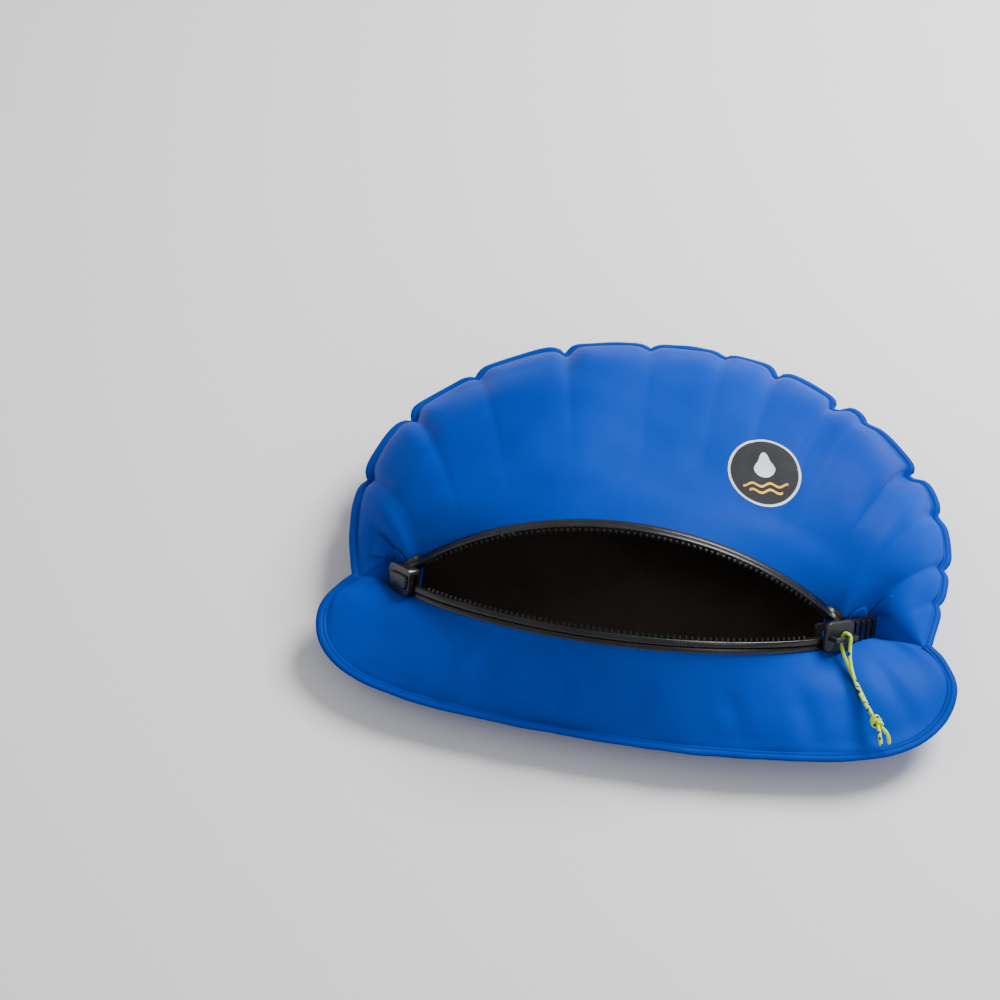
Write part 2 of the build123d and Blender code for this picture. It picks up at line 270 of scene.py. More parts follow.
def cord_material(name):
    """Bright braided cord with dark tracer flecks."""
    material, tree, shader = new_material(name)
    coordinates = tree.nodes.new("ShaderNodeTexCoord")
    braid = tree.nodes.new("ShaderNodeTexVoronoi")
    braid.inputs["Scale"].default_value = 420.0
    tree.links.new(coordinates.outputs["Object"], braid.inputs["Vector"])
    flecks = noise(tree, 260.0, 0.0)
    fleck = ramp(tree, flecks.outputs["Fac"], (0, 0, 0), (1, 1, 1), 0.625, 0.64)
    mix = tree.nodes.new("ShaderNodeMix")
    mix.data_type = "RGBA"
    mix.inputs["A"].default_value = (0.55, 0.83, 0.02, 1)
    mix.inputs["B"].default_value = (0.01, 0.02, 0.16, 1)
    tree.links.new(fleck, mix.inputs["Factor"])
    tree.links.new(mix.outputs["Result"], shader.inputs["Base Color"])
    shader.inputs["Roughness"].default_value = 0.75
    bump(tree, shader, braid.outputs["Distance"], 0.5, 0.0003)
    return material


BLUE = coated_fabric("blue_coated_nylon", (0.000, 0.036, 0.33), (0.000, 0.056, 0.45), 0.48)
# A darker copy of the blue coated nylon for the base: painted shade on the underside
BLUE_BASE_PAINTED_SHADE = coated_fabric("blue_coated_nylon_base_painted_shade", (0.000, 0.026, 0.25), (0.000, 0.040, 0.34), 0.48)
BLUE_WELD = coated_fabric("blue_weld", (0.000, 0.030, 0.28), (0.000, 0.044, 0.37), 0.42)
LINING = coated_fabric("dark_lining", (0.040, 0.031, 0.027), (0.085, 0.066, 0.056), 0.32)
RAIL_BLACK = moulded("zip_black", (0.006, 0.006, 0.007), 0.24)
TAPE_BLACK = moulded("tape_black", (0.012, 0.012, 0.013), 0.62, 900.0, 0.4)
SLIDER_BLACK = moulded("slider_black", (0.010, 0.010, 0.012), 0.38)
SEAL_GREY = moulded("seal_rubber", (0.03, 0.03, 0.032), 0.7)
CORD = cord_material("tracer_cord")
PRINT_DARK = moulded("print_dark", (0.005, 0.006, 0.010), 0.75)
PRINT_WHITE = moulded("print_white", (0.62, 0.64, 0.66), 0.7)
PRINT_YELLOW = moulded("print_yellow", (0.75, 0.42, 0.02), 0.7)


# ---------------------------------------------------------------- mesh helpers
SAME_PLACE = 0.00001


def mesh_object(name, points, faces, material, shade=True):
    mesh = bpy.data.meshes.new(name)
    mesh.from_pydata([tuple(map(float, p)) for p in points], [], faces)
    mesh.validate()
    mesh.polygons.foreach_set("use_smooth", [shade] * len(mesh.polygons))
    mesh.materials.append(material)
    obj = bpy.data.objects.new(name, mesh)
    bpy.context.scene.collection.objects.link(obj)
    return obj


def merge_close(obj):
    work = bmesh.new()
    work.from_mesh(obj.data)
    bmesh.ops.remove_doubles(work, verts=work.verts, dist=SAME_PLACE)
    bmesh.ops.recalc_face_normals(work, faces=work.faces)
    work.to_mesh(obj.data)
    work.free()


def grid_faces(rows, columns, closed=False):
    """Quads between the rows of a grid. A closed one joins its last column to its first."""
    faces = []
    last = columns if closed else columns - 1
    for r in range(rows - 1):
        for c in range(last):
            right = (c + 1) % columns
            faces.append((r * columns + c, r * columns + right,
                          (r + 1) * columns + right, (r + 1) * columns + c))
    return faces


def spline_through(points, count):
    """Even steps along a smooth curve through the points."""
    points = np.array(points, float)
    padded = np.vstack([2 * points[0] - points[1], points, 2 * points[-1] - points[-2]])
    fine = []
    for i in range(len(points) - 1):
        p0, p1, p2, p3 = padded[i:i + 4]
        for t in np.linspace(0, 1, 24, endpoint=False):
            fine.append(0.5 * (2 * p1 + (p2 - p0) * t + (2 * p0 - 5 * p1 + 4 * p2 - p3) * t**2
                               + (3 * p1 - p0 - 3 * p2 + p3) * t**3))
    fine.append(points[-1])
    return even_steps(np.array(fine), count)


def even_steps(line, count):
    lengths = np.r_[0, np.cumsum(np.linalg.norm(np.diff(line, axis=0), axis=1))]
    wanted = np.linspace(0, lengths[-1], count)
    return np.stack([np.interp(wanted, lengths, line[:, k]) for k in range(3)], 1)


def unit(vectors):
    return vectors / np.maximum(np.linalg.norm(vectors, axis=-1, keepdims=True), 1e-12)


# ---------------------------------------------------------------- outlines of the bag
LEFT_NOTCH = (-0.238, -0.078, 0.045)
RIGHT_NOTCH = (0.240, -0.078, 0.045)
BACK_HALF_EDGE = [(0.243, -0.058), (0.250, -0.022), (0.252, 0.025), (0.238, 0.075),
                  (0.205, 0.118), (0.152, 0.160), (0.090, 0.186), (0.030, 0.196)]
FRONT_EDGE = [LEFT_NOTCH, (-0.250, -0.090, 0.041), (-0.261, -0.112, 0.037), (-0.254, -0.140, 0.033),
              (-0.230, -0.163, 0.031), (-0.190, -0.178, 0.031), (-0.120, -0.190, 0.031),
              (-0.040, -0.196, 0.031), (0.040, -0.198, 0.031), (0.120, -0.194, 0.031),
              (0.190, -0.184, 0.031), (0.232, -0.167, 0.032), (0.256, -0.141, 0.034),
              (0.263, -0.112, 0.038), (0.253, -0.090, 0.042), RIGHT_NOTCH]
COLUMNS = 241
UPPER_ROWS = 64
FRONT_ROWS = 40


def seam_height(y):
    """The back seam is level beside the mouth and climbs towards the back."""
    return 0.045 + 0.195 * max(0.0, y - 0.025)


def back_edge():
    left = [(-x, y, seam_height(y)) for x, y in BACK_HALF_EDGE]
    right = [(x, y, seam_height(y)) for x, y in reversed(BACK_HALF_EDGE)]
    return [LEFT_NOTCH] + left + right + [RIGHT_NOTCH]


SEAM_LET_OUT = 0.001
# Puckers of the curved weld: place in plan, how many mm each pulls the seam in, and how far from the
# lip to the seam its crease starts
PUCKERS = (((-0.249, 0.030), 4, 0.60), ((-0.226, 0.095), 7, 0.35), ((-0.176, 0.147), 5, 0.70),
           ((-0.100, 0.182), 7, 0.45), ((-0.022, 0.197), 4, 0.72), ((0.046, 0.195), 4, 0.60),
           ((0.096, 0.184), 7, 0.50), ((0.150, 0.161), 9, 0.30), ((0.176, 0.143), 3, 0.75),
           ((0.222, 0.098), 9, 0.38), ((0.243, 0.060), 4, 0.68), ((0.252, 0.010), 4, 0.55),
           ((0.249, -0.030), 3, 0.70))


def share_of(line, place):
    """How far along a line the point nearest to this place in plan is."""
    return int(np.argmin(np.hypot(line[:, 0] - place[0], line[:, 1] - place[1]))) / (len(line) - 1)


def scalloped(edge):
    """The seam pulled in at each pucker and let out between them."""
    shares = np.linspace(0, 1, len(edge))
    inward = unit((np.array([0, 0.02, 0]) - edge) * IN_PLAN)
    depth = np.full(len(edge), -SEAM_LET_OUT)
    for place, size, _start in PUCKERS:
        depth += 0.001 * size * np.exp(-np.abs(shares - share_of(edge, place)) / 0.009)
    ends = smooth(shares / 0.04) * smooth((1 - shares) / 0.04)
    return edge + inward * (depth * ends)[:, None]


# Past the zip's ends the fabric runs flat under the moulded plates, then out to the side notches
FABRIC_EDGE = RAIL_BACK - 0.0015
PLATE_SINK = 0.0040
SINK_START = 41.5    # degrees along the arc
PLATE_REACH = {-1: 0.016, 1: 0.040}
MID_TAIL = {-1: (-0.222, -0.072, 0.047), 1: (0.218, -0.066, 0.041)}


def lip_edge_point(lower, angle):
    point, out, normal = lip_frame(LOWER_LEAN, angle) if lower else upper_frame(angle)
    sink = PLATE_SINK * float(smooth((abs(angle) - SINK_START) / 3.0))
    return point - out * sink + normal * FABRIC_EDGE * (1 if lower else -1)


def lip_tail(lower, side, count=24):
    """From a zip's end, along its plate, and out to the notch at the bag's side."""
    point, out, normal = lip_frame(LOWER_LEAN, side * END_ANGLE)
    along = -side * np.cross(normal, out)
    start = point - out * PLATE_SINK
    notch = np.array(RIGHT_NOTCH if side > 0 else LEFT_NOTCH)
    reach = PLATE_REACH[side]
    middle = spline_through([start, start + along * reach * 0.5, start + along * reach,
                             np.array(MID_TAIL[side]), notch], count + 1)
    shares = np.linspace(0, 1, count + 1)
    plate_share = reach / np.linalg.norm(np.diff(middle, axis=0), axis=1).sum()
    offset = FABRIC_EDGE * (1 - smooth((shares - plate_share) / (1 - plate_share)))
    return (middle + normal * (offset * (1 if lower else -1))[:, None])[1:]


def lip_line(lower):
    """The fabric's edge along a lip: behind its rail, then past the zip's ends to the notches."""
    points = [lip_edge_point(lower, angle) for angle in np.linspace(-END_ANGLE, END_ANGLE, 181)]
    left, right = lip_tail(lower, -1)[::-1], lip_tail(lower, 1)
    return even_steps(np.vstack([left, points, right]), COLUMNS)


def bezier(start, start_pull, end_pull, end, shares):
    """Rows of points along a curve for each pair of points, leaving and arriving as they are pulled."""
    t = shares[:, None, None]
    return ((1 - t)**3 * start + 3 * (1 - t)**2 * t * (start + start_pull)
            + 3 * (1 - t) * t**2 * (end + end_pull) + t**3 * end)


def row_shares(count, power=1.0):
    """From 0 to 1. A power above 1 brings the rows closer together at the start."""
    return np.linspace(0, 1, count)**power


def upper_surface():
    """The back lobe's top, from the upper lip back and down to the scalloped seam, and that seam."""
    inner = lip_line(False)
    outer = scalloped(spline_through(back_edge(), COLUMNS))
    span = np.linalg.norm(outer - inner, axis=1)[:, None]
    away = unit((outer - inner) * IN_PLAN)
    rise = np.clip((inner[:, 2:3] - CHORD[2]) / LIP_HEIGHT, 0, 1)
    leave = unit(away * (0.45 + 0.55 * rise) + UP * (0.95 * (1 - rise) + 0.02))
    arrive = unit(-away * 0.62 + UP * 0.78)
    return bezier(inner, leave * span * (0.34 + 0.1 * (1 - rise)), arrive * span * 0.34, outer,
                  row_shares(UPPER_ROWS, 1.25)), outer


def front_surface():
    """The front lobe, from the lower lip out and down to its seam."""
    inner = lip_line(True)
    outer = spline_through(FRONT_EDGE, COLUMNS)
    span = np.linalg.norm(outer - inner, axis=1)[:, None]
    away = unit((outer - inner) * IN_PLAN)
    rise = smooth((inner[:, 2:3] - 0.045) / 0.045)
    low = np.clip((0.054 - inner[:, 2:3]) / 0.020, 0, 1)
    leave = unit(lip_normal(LOWER_LEAN) * rise
                 + (away * (0.97 - 0.5 * low) + UP * (0.95 * low - 0.12)) * (1 - rise))
    arrive = unit(-away * (0.85 - 0.30 * rise) + UP * (0.42 + 0.33 * rise))
    return bezier(inner, leave * span * (0.30 + 0.05 * rise), arrive * span * 0.30, outer,
                  row_shares(FRONT_ROWS))


def grid_normals(grid):
    """Outward, which is upward on the whole for both lobes."""
    normals = unit(np.cross(np.gradient(grid, axis=1), np.gradient(grid, axis=0)))
    return normals if normals[..., 2].mean() > 0 else -normals


def groove(shares, place, width):
    """A crease with the soft shoulders that cloth has beside it."""
    away = (shares - place) / width
    return np.exp(-away**2) - 0.45 * np.exp(-(away / 2.3)**2)


def off_the_lip(grid):
    """0 over the stiff strip along the zip, 1 where the cloth is free."""
    steps = np.linalg.norm(np.diff(grid, axis=0), axis=2)
    far = np.vstack([np.zeros(grid.shape[1]), np.cumsum(steps, axis=0)])
    return smooth((far - 0.018) / 0.030)


def drift(grid, scale, size, seed):
    """Slow unevenness, in metres."""
    flat = grid.reshape(-1, 3) * scale + seed
    values = [mathnoise.noise(Vector(p)) for p in flat]
    return np.array(values).reshape(grid.shape[:2]) * size


def add_upper_folds(grid, edge):
    """A crease runs up from each pucker of the seam."""
    rows = np.linspace(0, 1, grid.shape[0])[:, None]
    shares = np.linspace(0, 1, grid.shape[1])[None, :]
    height = np.zeros(grid.shape[:2])
    for i, (place, size, start) in enumerate(PUCKERS):
        middle = share_of(edge, place) + 0.03 * sin(3.1 * i) * (1 - rows)
        fade = smooth((rows - start) / (1.05 - start))
        height -= 0.00075 * size * groove(shares, middle, 0.008 + 0.020 * (1 - rows)) * fade
    height += drift(grid, 11.0, 0.0050, 3.1) * smooth(rows / 0.25) * smooth((1 - rows) / 0.1)
    height += drift(grid, 26.0, 0.0016, 8.4)
    return grid + grid_normals(grid) * (height * off_the_lip(grid))[..., None]


# Soft upright folds of the front: share along the lip, width, depth in mm
FRONT_FOLDS = ((0.14, 0.020, 2.5), (0.25, 0.016, 4.5), (0.315, 0.020, 5.5), (0.40, 0.014, 3.0),
               (0.52, 0.022, 3.5), (0.63, 0.016, 2.5), (0.74, 0.018, 3.5), (0.86, 0.016, 3.0))


def add_front_folds(grid):
    rows = np.linspace(0, 1, grid.shape[0])[:, None]
    shares = np.linspace(0, 1, grid.shape[1])[None, :]
    height = np.zeros(grid.shape[:2])
    for i, (place, width, size) in enumerate(FRONT_FOLDS):
        middle = place + 0.02 * sin(2.7 * i) * rows
        height -= 0.001 * size * groove(shares, middle, width) * np.sin(pi * rows)**0.8
    height += drift(grid, 12.0, 0.0050, 5.7) * smooth(rows / 0.3) * smooth((1 - rows) / 0.15)
    height += drift(grid, 30.0, 0.0014, 1.9)
    return grid + grid_normals(grid) * (height * off_the_lip(grid))[..., None]


FLOOR_GAP = 0.0008


def base_surface(edge_front, edge_back):
    """The underside: from the seams down and in to the flat that the bag stands on."""
    ring = np.vstack([edge_front, edge_back[::-1][1:-1]])
    out = unit(ring * IN_PLAN)
    flat = ring.copy()
    flat[:, :2] = ring[:, :2] * 0.84
    flat[:, 2] = FLOOR_GAP + 0.016 * smooth((np.abs(flat[:, 0]) - 0.13) / 0.10)
    drop = (ring[:, 2] - flat[:, 2])[:, None]
    sides = bezier(ring, -UP * drop * 0.55 + out * 0.004, out * drop * 0.5, flat, row_shares(22))
    low = []
    for share in np.linspace(1, 0.02, 26)[1:]:
        inner = flat * share
        inner[:, 2] = FLOOR_GAP + (flat[:, 2] - FLOOR_GAP) * share**2
        low.append(inner)
    low.append(np.tile([0, 0, FLOOR_GAP], (len(ring), 1)))
    return np.vstack([sides, np.array(low)])


# How far out over the margin, and how high: a pressed groove runs along its middle
FLANGE_SECTION = ((0, 0), (0.25, 0.0002), (0.3, -0.0003), (0.36, -0.0003), (0.42, 0.0002), (0.7, 0.0002),
                  (1.0, -0.0006))


def flange(line, slope, width):
    """The welded margin outside a seam: thin, flat and a little uneven."""
    out = unit(line * IN_PLAN)
    tangent = unit(np.gradient(line, axis=0))
    side = unit(np.cross(tangent, UP))
    side *= np.sign((side * out).sum(1, keepdims=True))
    side = unit(side * 0.55 + out * 0.45 + UP * slope)
    start = line - side * 0.0015    # begins a little inside the seam
    wave = np.array([mathnoise.noise(Vector(p) * 40) for p in line]) * 0.0012
    return np.array([start + side * width * step + UP * (rise + wave * step)[:, None]
                     for step, rise in FLANGE_SECTION])


# ---------------------------------------------------------------- turning grids into pieces
FABRIC_THICKNESS = 0.0008
WELD_THICKNESS = 0.0011
PATCH_THICKNESS = 0.0009
WELD_MARGIN = 0.0085


def thicken(obj, thickness):
    """Thickness goes inward. A second material, where there is one, is the inner face's."""
    shell = obj.modifiers.new("cloth thickness", "SOLIDIFY")
    shell.thickness, shell.offset = thickness, -1
    shell.material_offset = len(obj.data.materials) - 1


def grid_piece(name, grid, *materials, closed=False, flip=False):
    """A sheet with no thickness yet, over a grid of points."""
    faces = grid_faces(*grid.shape[:2], closed)
    if flip:
        faces = [f[::-1] for f in faces]
    obj = mesh_object(name, grid.reshape(-1, 3), faces, materials[0])
    for material in materials[1:]:
        obj.data.materials.append(material)
    return obj


def finished(obj):
    """Bake the modifiers in, so that the mesh is final."""
    bpy.context.view_layer.update()
    graph = bpy.context.evaluated_depsgraph_get()
    mesh = bpy.data.meshes.new_from_object(obj.evaluated_get(graph))
    obj.modifiers.clear()
    obj.data = mesh
    return obj


def outward_faces(obj, inside_point):
    """Make the faces look away from a point inside the bag."""
    mesh = obj.data
    score = sum((p.center - Vector(inside_point)).dot(p.normal) * p.area for p in mesh.polygons)
    if score < 0:
        mesh.flip_normals()


SETTLE_FRAMES = 16
SLACK = 0.035        # how much the cloth grows as it settles
HELD_COLUMNS = 3     # at each side


def hold_edges(obj, rows, columns, held_rows):
    """Rows near the lip and near the seam are held less the farther in they are, and the sides fully."""
    group = obj.vertex_groups.new(name="held")
    for r in range(rows):
        weight = 1 - min(r / held_rows[0], (rows - 1 - r) / held_rows[1])
        if weight > 0:
            group.add(list(range(r * columns, (r + 1) * columns)), weight, "REPLACE")
    for r in range(rows):
        for c in range(HELD_COLUMNS):
            group.add([r * columns + c, (r + 1) * columns - 1 - c], 1.0, "REPLACE")
    return group


def settle(obj, rows, columns, held_rows, pressure, cap):
    """Let the cloth slacken and buckle between its held edges, then cap how far it went."""
    rest = np.array([v.co for v in obj.data.vertices])
    held = hold_edges(obj, rows, columns, held_rows)
    cloth = obj.modifiers.new("settle", "CLOTH")
    fabric = cloth.settings
    fabric.quality, fabric.mass, fabric.air_damping = 6, 0.25, 2.0
    fabric.tension_stiffness = fabric.compression_stiffness = 12
    fabric.shear_stiffness, fabric.bending_stiffness = 6, 0.35
    fabric.vertex_group_mass = held.name
    fabric.pin_stiffness = 4
    fabric.shrink_min = fabric.shrink_max = -SLACK
    fabric.use_pressure, fabric.uniform_pressure_force = True, pressure
    fabric.effector_weights.gravity = 0
    cloth.collision_settings.use_collision = False
    scene = bpy.context.scene
    cloth.point_cache.frame_start, cloth.point_cache.frame_end = 1, SETTLE_FRAMES
    scene.frame_start, scene.frame_end = 1, SETTLE_FRAMES
    for frame_number in range(1, SETTLE_FRAMES + 1):
        scene.frame_set(frame_number)
    graph = bpy.context.evaluated_depsgraph_get()
    moved = np.array([v.co for v in obj.evaluated_get(graph).data.vertices])
    obj.modifiers.remove(cloth)
    shift = moved - rest
    shift[~np.isfinite(shift).all(1)] = 0
    size = np.linalg.norm(shift, axis=1, keepdims=True)
    shift *= cap * np.tanh(size / cap) / np.maximum(size, 1e-9)
    obj.data.vertices.foreach_set("co", (rest + shift).ravel())
    obj.data.update()
    scene.frame_set(1)


def tree_of(objects):
    """Their faces, ready to cast rays at."""
    points, faces = [], []
    for obj in objects:
        start = len(points)
        points += [v.co.copy() for v in obj.data.vertices]
        faces += [tuple(start + i for i in p.vertices) for p in obj.data.polygons]
    return BVHTree.FromPolygons(points, faces)


def on_surface(tree, origin, direction, lift):
    """Where a ray meets the cloth, lifted off it a little. The nearest place if it misses."""
    hit, normal = tree.ray_cast(Vector(origin), Vector(direction))[:2]
    if hit is None:
        hit, normal = tree.find_nearest(Vector(origin))[:2]
    if normal.dot(Vector(direction)) > 0:
        normal = -normal
    return hit + normal * lift


def capped_tube(name, rings, sides, material, shade=True):
    """Rings of points, one after another, joined into a closed tube."""
    count = len(rings) // sides
    faces = grid_faces(count, sides, closed=True)
    faces += [tuple(range(sides))[::-1], tuple((count - 1) * sides + i for i in range(sides))]
    return mesh_object(name, rings, faces, material, shade)


def tube(name, points, radius, material, sides=14):
    """A round cord along the points, with its two ends drawn in."""
    points = np.array(points, float)
    tangents = unit(np.gradient(points, axis=0))
    normal = unit(np.cross(tangents[0], [0.3, 0.5, 0.8]))
    rings = []
    scales = np.ones(len(points))
    scales[[0, -1]] = 0.55
    for point, tangent, scale in zip(points, tangents, scales):
        normal = unit(normal - tangent * (normal @ tangent))
        other = np.cross(tangent, normal)
        rings += [point + radius * scale * (normal * cos(a) + other * sin(a))
                  for a in np.linspace(0, 2 * pi, sides, endpoint=False)]
    return capped_tube(name, rings, sides, material)


def nurbs_cord(name, points, diameter, material):
    curve = bpy.data.curves.new(name, "CURVE")
    curve.dimensions = "3D"
    curve.bevel_depth, curve.bevel_resolution, curve.use_fill_caps = diameter / 2, 5, True
    spline = curve.splines.new("NURBS")
    spline.points.add(len(points) - 1)
    for point, place in zip(spline.points, points):
        point.co = (*place, 1)
    spline.order_u, spline.use_endpoint_u, spline.resolution_u = 3, True, 14
    curve.materials.append(material)
    obj = bpy.data.objects.new(name, curve)
    bpy.context.scene.collection.objects.link(obj)
    return obj


def paint(material, slot_name, *node_names, round_edges=0.0):
    """A CAD piece keeps its shape and gets its finish, with its sharp edges eased."""
    for name in node_names:
        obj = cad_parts[name]
        obj.data.materials.clear()
        obj.data.materials.append(material)
        if round_edges:
            weld = obj.modifiers.new("joined edges", "WELD")
            weld.merge_threshold = SAME_PLACE
            bevel = obj.modifiers.new("eased edges", "BEVEL")
            bevel.width, bevel.segments, bevel.limit_method = round_edges, 3, "ANGLE"
            bevel.angle_limit = radians(35)


# ---------------------------------------------------------------- the fabric
upper_grid, back_line = upper_surface()
upper_grid = add_upper_folds(upper_grid, back_line)
front_grid = add_front_folds(front_surface())
base_grid = base_surface(front_grid[-1], upper_grid[-1])

upper_fabric = grid_piece("upper_fabric", upper_grid, BLUE, LINING)
front_fabric = grid_piece("front_fabric", front_grid, BLUE, LINING, flip=True)
# The base gets the darker blue, which is painted shade
base_fabric = grid_piece("base_fabric", base_grid, BLUE_BASE_PAINTED_SHADE, LINING, closed=True)
for piece in (upper_fabric, front_fabric, base_fabric):
    outward_faces(piece, (0, 0, 0.05))
settle(upper_fabric, *upper_grid.shape[:2], held_rows=(13, 3), pressure=1.5, cap=0.007)
settle(front_fabric, *front_grid.shape[:2], held_rows=(14, 3), pressure=0.8, cap=0.006)
for piece in (upper_fabric, front_fabric, base_fabric):
    thicken(piece, FABRIC_THICKNESS)
cloth_tree = tree_of([upper_fabric, front_fabric])

back_flange = grid_piece("back_flange", flange(upper_grid[-1], -0.10, WELD_MARGIN), BLUE_WELD)
front_flange = grid_piece("front_flange", flange(front_grid[-1], -0.05, WELD_MARGIN), BLUE_WELD)
for piece in (back_flange, front_flange):
    thicken(piece, WELD_THICKNESS)


def gusset_line(lower, side):
    points = [lip_edge_point(lower, side * angle) for angle in np.linspace(SINK_START, END_ANGLE, 8)]
    return even_steps(np.vstack([points, lip_tail(lower, side)]), 48)


GUSSET_SINK = 0.0006


def gusset(name, side):
    """The fabric under a zip end, joining the two lobes and lapping under both."""
    low, high = gusset_line(True, side), gusset_line(False, side)
    out = lip_frame(LOWER_LEAN, side * END_ANGLE)[1]
    rows = [low * (1 - t) + high * t - out * GUSSET_SINK for t in np.linspace(-0.12, 1.12, 12)]
    piece = grid_piece(name, np.array(rows), BLUE, LINING)
    outward_faces(piece, (0, 0, 0))
    thicken(piece, FABRIC_THICKNESS)
    return piece


left_gusset = gusset("left_gusset", -1)
right_gusset = gusset("right_gusset", 1)

PATCH_RINGS = 20
PATCH_LIFT = 0.0013
UNDER_PLATE = 0.0125        # nearer to the zip's line than this, a patch is flat
PLATE_CLEARANCE = 0.0036


def rounded_plan(half_x, half_y, power=4.0, around=96):
    """Rings of a rounded rectangle from its middle out, in a plane."""
    edge = []
    for a in np.linspace(0, 2 * pi, around, endpoint=False):
        r = (abs(cos(a))**power + abs(sin(a))**power)**(-1 / power)
        edge.append((half_x * cos(a) * r, half_y * sin(a) * r))
    edge = np.array(edge)
    return [edge * t for t in np.linspace(0.02, 1, PATCH_RINGS)]


def patch(name, side, centre, half_x, half_y, material, tree):
    """A rounded patch welded over the fabric round a zip end."""
    local = station_matrix(LOWER_LEAN, side * END_ANGLE)
    back = local.inverted()
    points = []
    for ring in rounded_plan(half_x, half_y):
        for x, y in ring:
            above = local @ Vector((centre[0] + x, centre[1] + y, 0)) + Vector((0, 0, 0.08))
            place = back @ on_surface(tree, above, (0, 0, -1), PATCH_LIFT)
            if abs(place.y) < UNDER_PLATE:
                place.z = min(place.z, -PLATE_CLEARANCE)
            points.append(local @ place)
    grid = np.array([tuple(p) for p in points]).reshape(PATCH_RINGS, -1, 3)
    piece = grid_piece(name, grid, material, closed=True)
    thicken(piece, PATCH_THICKNESS)
    return piece


whole_tree = tree_of([upper_fabric, front_fabric, left_gusset, right_gusset])
left_patch = patch("left_patch", -1, (0.018, 0), 0.026, 0.022, BLUE_WELD, whole_tree)
right_patch = patch("right_patch", 1, (-0.028, 0), 0.030, 0.022, BLUE_WELD, whole_tree)

# ---------------------------------------------------------------- the badge printed on the top
BADGE_PLACE = (0.092, 0.022)
BADGE_TURN = 9.0
LONGEST_EDGE = 0.0022    # so that a layer follows the cloth
BORDER_LIFT, FIELD_LIFT, MARK_LIFT = 0.00035, 0.00065, 0.00095


def badge_layer(name, outline, lift, material):
    """A flat shape in millimetres about the badge's middle, laid on the fabric."""
    turn = radians(BADGE_TURN)
    work = bmesh.new()
    work.faces.new([work.verts.new((x / 1000, y / 1000, 0)) for x, y in outline])
    bmesh.ops.triangulate(work, faces=work.faces[:])
    for _pass in range(4):
        long_edges = [e for e in work.edges if e.calc_length() > LONGEST_EDGE]
        bmesh.ops.subdivide_edges(work, edges=long_edges, cuts=1)
        bmesh.ops.triangulate(work, faces=work.faces[:])
    for v in work.verts:
        x = BADGE_PLACE[0] + v.co.x * cos(turn) - v.co.y * sin(turn)
        y = BADGE_PLACE[1] + v.co.x * sin(turn) + v.co.y * cos(turn)
        v.co = on_surface(cloth_tree, (x, y, 0.3), (0, 0, -1), lift)
    mesh = bpy.data.meshes.new(name)
    work.to_mesh(mesh)
    work.free()
    mesh.polygons.foreach_set("use_smooth", [True] * len(mesh.polygons))
    mesh.materials.append(material)
    obj = bpy.data.objects.new(name, mesh)
    bpy.context.scene.collection.objects.link(obj)
    return obj


def round_outline(half_x, half_y):
    return [(half_x * cos(a), half_y * sin(a)) for a in np.linspace(0, 2 * pi, 64, endpoint=False)]


def drop_outline(size, centre):
    """A circle whose top is drawn up to a point."""
    points = []
    for a in np.linspace(0, 2 * pi, 48, endpoint=False):
        r = size * (1 + 0.75 * max(0.0, sin(a))**9)
        points.append((centre[0] + r * cos(a) * (1 - 0.25 * max(0, sin(a))), centre[1] + r * sin(a)))
    return points


def wave_outline(half, height, thick):
    """A band whose two edges are the same wave."""
    top = [(x, height + 1.6 * sin(x * 0.42)) for x in np.linspace(-half, half, 40)]
    return top + [(x, y - thick) for x, y in reversed(top)]


badge_pieces = [
    badge_layer("badge_border", round_outline(31, 33), BORDER_LIFT, PRINT_WHITE),
    badge_layer("badge_field", round_outline(28.8, 30.8), FIELD_LIFT, PRINT_DARK),
    badge_layer("badge_drop", drop_outline(9.0, (0, 3)), MARK_LIFT, PRINT_WHITE),
    badge_layer("badge_wave_upper", wave_outline(19, -12, 2.2), MARK_LIFT, PRINT_YELLOW),
    badge_layer("badge_wave_lower", wave_outline(14, -18, 2.2), MARK_LIFT, PRINT_YELLOW)]

# ---------------------------------------------------------------- zip
# Outline of a rail: how far back from the zip's middle, and how far out from its arc
RAIL_SECTION = ((0.0020, 0.0030), (0.0062, 0.0030), (0.0066, 0.0026), (0.0068, 0.0012), (0.0078, 0.0012),
                (0.0081, 0.0018), (0.0124, 0.0018), (0.0126, 0.0014), (0.0126, -0.0018), (0.0066, -0.0018),
                (0.0064, -0.0030), (0.0020, -0.0030), (0.0016, -0.0026), (0.0016, 0.0026))


def rail_end(name, side):
    """The flexible stretch of the upper rail, from the stiff lip down into the zip's end."""
    rings = []
    for angle in np.linspace(LIP_ANGLE - 0.05, TWIST_END, 40):
        point, out, normal = upper_frame(side * angle)
        rings += [point - normal * across + out * radial for across, radial in RAIL_SECTION]
    obj = capped_tube(name, rings, len(RAIL_SECTION), RAIL_BLACK, shade=False)
    merge_close(obj)
    return obj


left_rail_end = rail_end("left_rail_end", -1)
right_rail_end = rail_end("right_rail_end", 1)

paint(RAIL_BLACK, "zip_moulding", "lower_zip_rail", "upper_zip_rail", round_edges=0.0007)
paint(RAIL_BLACK, "zip_moulding", "docking_end", "start_plate", "start_plate_ribs", round_edges=0.0006)
paint(RAIL_BLACK, "zip_teeth", "lower_zip_teeth", "upper_zip_teeth")
paint(TAPE_BLACK, "zip_tape", "lower_zip_tape", "upper_zip_tape")
paint(SEAL_GREY, "seal_rubber", "dock_seal")
paint(SLIDER_BLACK, "slider_plastic", "slider_body", "slider_underside", "slider_bridge",
      round_edges=0.0009)

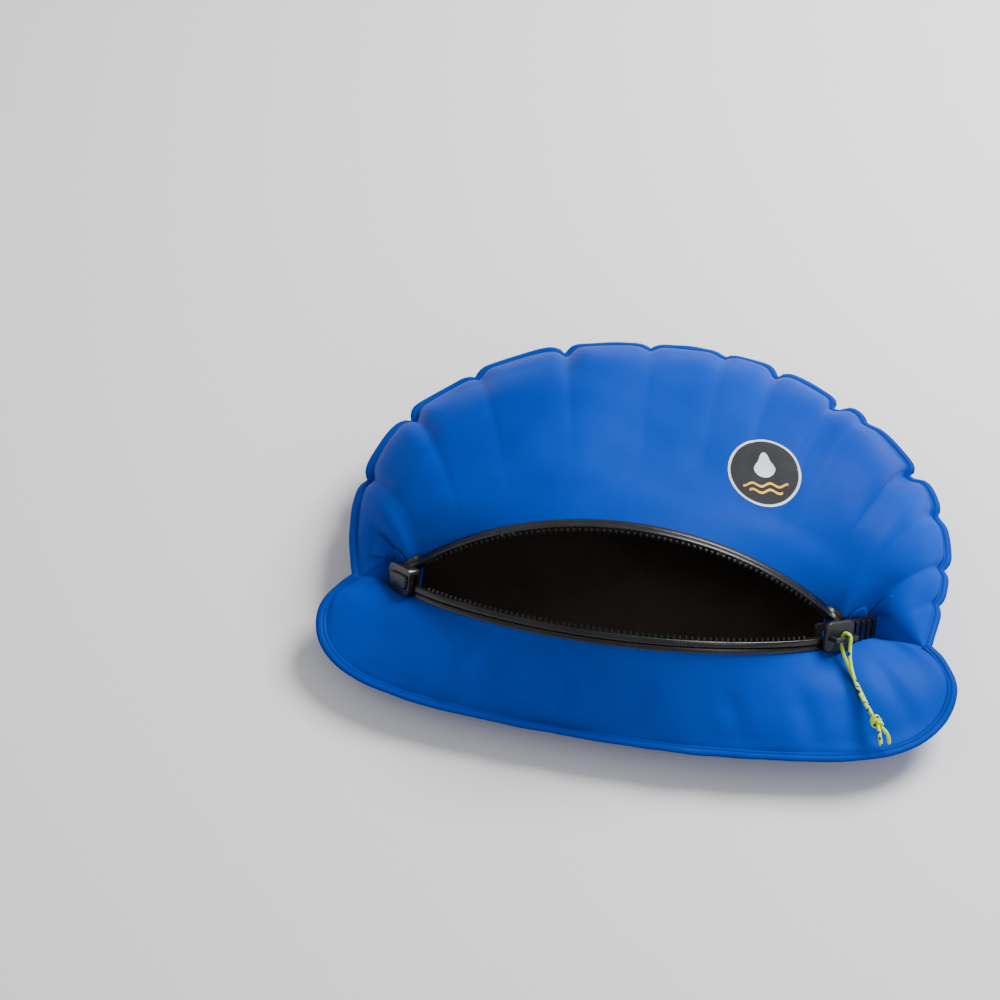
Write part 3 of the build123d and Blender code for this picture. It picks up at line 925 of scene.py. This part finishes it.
# ---------------------------------------------------------------- pull cord, in the slider's millimetres
FRONT_STRAND = ((0, 2, 10.6), (0, 9, 11.2), (1.5, 19, 21), (3.5, 31, 36), (6, 43, 52), (8, 50.5, 63))
BACK_STRAND = ((0, 2, 10.6), (0, -5, 10.6), (0, -5, 20.6), (0.6, 6, 21), (4, 18, 27),
               (7.5, 30, 39), (10, 41, 53), (11, 48.5, 64.5))
TAILS = (((11, 54, 72), (14, 60, 78), (15, 68, 82)), ((8, 55, 71), (5, 61, 78), (3, 69, 80)))

slider_matrix = station_matrix(LOWER_LEAN, SLIDER_ANGLE)


def from_slider(points):
    """Metres in the frame."""
    return [tuple(slider_matrix @ (Vector(p) / 1000)) for p in points]


front_cord = nurbs_cord("pull_cord_front_strand", from_slider(FRONT_STRAND), CORD_DIAMETER, CORD)
back_cord = nurbs_cord("pull_cord_back_strand", from_slider(BACK_STRAND), CORD_DIAMETER, CORD)
tails = []
for name, points in zip(("cord_tail_left_end", "cord_tail_right_end"), TAILS):
    line = spline_through(from_slider(points), 16)
    tails.append(tube(name, line, CORD_DIAMETER / 2, CORD))

KNOT_AXIS = (np.array((9.2, 50.0, 64.5)), np.array((10.6, 55.5, 73.0)))
KNOT_TURNS = 2.6
KNOT_RADIUS = 3.1


def knot_wraps():
    """The cord's turns round its own strands."""
    low, high = KNOT_AXIS
    axis = unit(high - low)
    side = unit(np.cross(axis, [1.0, 0.2, 0.1]))
    other = np.cross(axis, side)
    points = []
    for t in np.linspace(0, 1, 90):
        a = 2 * pi * KNOT_TURNS * t
        r = KNOT_RADIUS * (1 + 0.12 * sin(2.3 * a))
        slant = 1.1 * sin(a + 0.6)
        points.append(low + (high - low) * (0.12 + 0.76 * t) + axis * slant
                      + (side * cos(a) + other * sin(a)) * r)
    return points


def through_knot(start, tail):
    """The hidden stretch from a strand's end, through the knot, into its tail."""
    middle = tuple(KNOT_AXIS[1] * 0.5 + KNOT_AXIS[0] * 0.5)
    line = spline_through(from_slider((start, middle, tail[0], tail[1])), 24)
    return tube("through", line, CORD_DIAMETER / 2 * 0.97, CORD)


def join_into(target, parts):
    work = bmesh.new()
    for part in (target, *parts):
        work.from_mesh(part.data)
    work.to_mesh(target.data)
    work.free()
    for part in parts:
        bpy.data.objects.remove(part)


knot = tube("pull_cord_knot", from_slider(knot_wraps()), CORD_DIAMETER / 2, CORD)
join_into(knot, [through_knot(FRONT_STRAND[-1], TAILS[0]), through_knot(BACK_STRAND[-1], TAILS[1])])
for piece in (front_cord, back_cord, *tails, knot):
    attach(piece, "pull_cord")
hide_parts("pull_cord_front")
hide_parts("pull_cord_back")
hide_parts("cord_tail_left")
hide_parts("cord_tail_right")
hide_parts("pull_knot")

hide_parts("upper_panel", "upper_lip_panel")
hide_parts("front_panel", "lower_lip_panel")
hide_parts("base_panel", "back_under_panel")
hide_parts("back_weld")
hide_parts("front_weld")
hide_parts("zip_patch_left")
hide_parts("zip_patch_right")
for piece in (upper_fabric, *badge_pieces, left_rail_end, right_rail_end):
    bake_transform(finished(piece))
for piece in (front_fabric, base_fabric, back_flange, front_flange, left_gusset, right_gusset,
              left_patch, right_patch):
    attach(finished(piece), "root")

camera()
studio()
